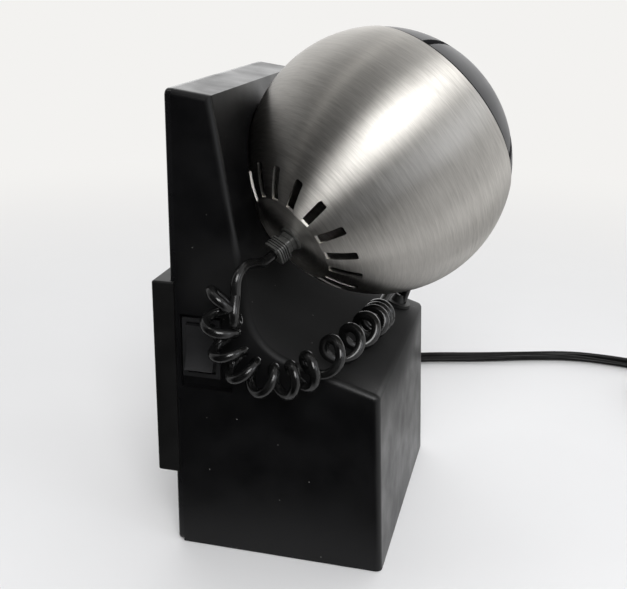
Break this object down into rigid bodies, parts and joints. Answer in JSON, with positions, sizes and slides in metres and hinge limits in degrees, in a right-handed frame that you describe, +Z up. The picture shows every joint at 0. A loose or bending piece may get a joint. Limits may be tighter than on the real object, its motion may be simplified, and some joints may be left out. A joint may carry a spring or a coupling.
{
  "type": "ball-head table lamp",
  "caption": "Table or wall lamp: a brushed steel ball head held by a magnet in a dish on a black moulded housing, with curly cord and rocker switch.",
  "frame": {"origin": "middle of the housing's footprint, on the surface that its rubber pad stands on", "axes": "+X to the front, the side with the ball, +Z up, +Y away from the switch side"},
  "size_m": [0.2918, 0.2522, 0.1941],
  "materials": {
    "housing_plastic": "fine satin moulding",
    "cover_plastic": "satin moulding",
    "screw_steel": "zinc plated",
    "bracket_plastic": "satin moulding",
    "pad_rubber": "matt",
    "core_iron": "varnished laminations",
    "winding_copper": "enamelled copper wire",
    "clamp_steel": "plain steel strip",
    "switch_plastic": "semi-gloss",
    "terminal_brass": "bright",
    "cup_steel": "nickel plated",
    "magnet_ferrite": "ground ferrite",
    "seat_nylon": "natural nylon",
    "ball_steel": "brushed round the beam axis",
    "bezel_plastic": "satin black",
    "baffle_plastic": "matt black",
    "reflector_aluminium": "bright anodised",
    "bulb_glass": "clear",
    "cap_metal": "plain",
    "holder_phenolic": "phenolic",
    "relief_rubber": "semi-matt",
    "cord_pvc": "glossy black",
    "mains_pvc": "black, slightly shiny",
    "plug_plastic": "moulded",
    "pin_brass": "nickelled brass"
  },
  "bodies": {
    "base": {"housing": "housing_plastic", "back_cover": "cover_plastic", "cover_screws": "screw_steel", "wall_bracket": "bracket_plastic", "hanger_studs": "screw_steel", "base_pad": "pad_rubber", "transformer_core": "core_iron", "transformer_coil": "winding_copper", "transformer_clamp": "clamp_steel", "clamp_screws": "screw_steel", "switch_case": "switch_plastic", "switch_terminals": "terminal_brass", "rocker_pin": "screw_steel", "magnet_cup": "cup_steel", "magnet": "magnet_ferrite", "curly_gland": "relief_rubber", "curly_cord": "cord_pvc", "curly_lead_base": "cord_pvc", "mains_bushing": "relief_rubber", "mains_cord": "mains_pvc", "mains_coil": "mains_pvc", "mains_lead": "mains_pvc", "plug_body": "plug_plastic", "plug_pins": "pin_brass"},
    "seat": {"seat_ring": "seat_nylon"},
    "head": {"ball_shell": "ball_steel", "front_bezel": "bezel_plastic", "glare_ring": "baffle_plastic", "reflector": "reflector_aluminium", "bulb_glass": "bulb_glass", "bulb_cap": "cap_metal", "lamp_holder": "holder_phenolic", "lamp_carrier": "clamp_steel", "strain_relief": "relief_rubber", "relief_nut": "holder_phenolic", "curly_lead_ball": "cord_pvc"},
    "rocker": {"rocker": "switch_plastic"}
  },
  "joints": [
    {"name": "seat_swivel", "type": "hinge", "parent": "base", "child": "seat", "pos_m": [0.024, 0, 0.14416], "axis": [0.9842, 0, 0.1771], "range_deg": [-90, 90], "deforming": ["curly_cord", "curly_lead_ball", "curly_lead_base"]},
    {"name": "head_tilt", "type": "hinge", "parent": "seat", "child": "head", "pos_m": [0.024, 0, 0.14416], "axis": [-0.1514, -0.5187, 0.8415], "range_deg": [-3, 35], "deforming": ["curly_cord", "curly_lead_ball", "curly_lead_base"]},
    {"name": "rocker", "type": "hinge", "parent": "base", "child": "rocker", "pos_m": [-0.02955, -0.04875, 0.082], "axis": [1, 0, 0], "range_deg": [0, 16]}
  ]
}
